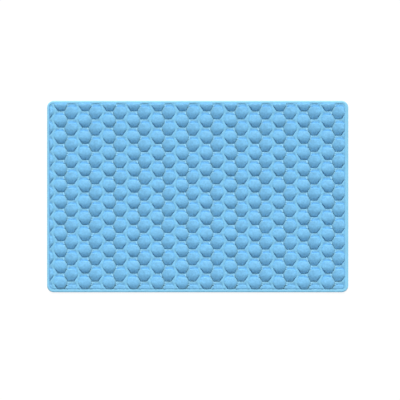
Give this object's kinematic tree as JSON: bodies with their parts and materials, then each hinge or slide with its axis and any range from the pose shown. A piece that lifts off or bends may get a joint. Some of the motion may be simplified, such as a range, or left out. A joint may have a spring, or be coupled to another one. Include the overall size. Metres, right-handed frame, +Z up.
{
  "type": "pet cooling mat",
  "caption": "Flat padded cooling mat for a pet, quilted in a honeycomb of raised pillows, with a rolled cloth binding round its rounded-corner edge.",
  "frame": {"origin": "middle of the flat underside, on the surface the mat lies on", "axes": "+X along the long side, +Y across the mat towards the picture's top edge, +Z up out of the quilted face"},
  "size_m": [0.76, 0.483, 0.0117],
  "materials": {
    "quilted_panel": "fine smooth knit, padded, slight sheen, light sky blue",
    "edge_binding": "smooth folded tape, slight sheen, a lighter sky blue"
  },
  "bodies": {
    "root": {"quilted_panel": "quilted_panel", "edge_binding": "edge_binding"}
  },
  "joints": []
}
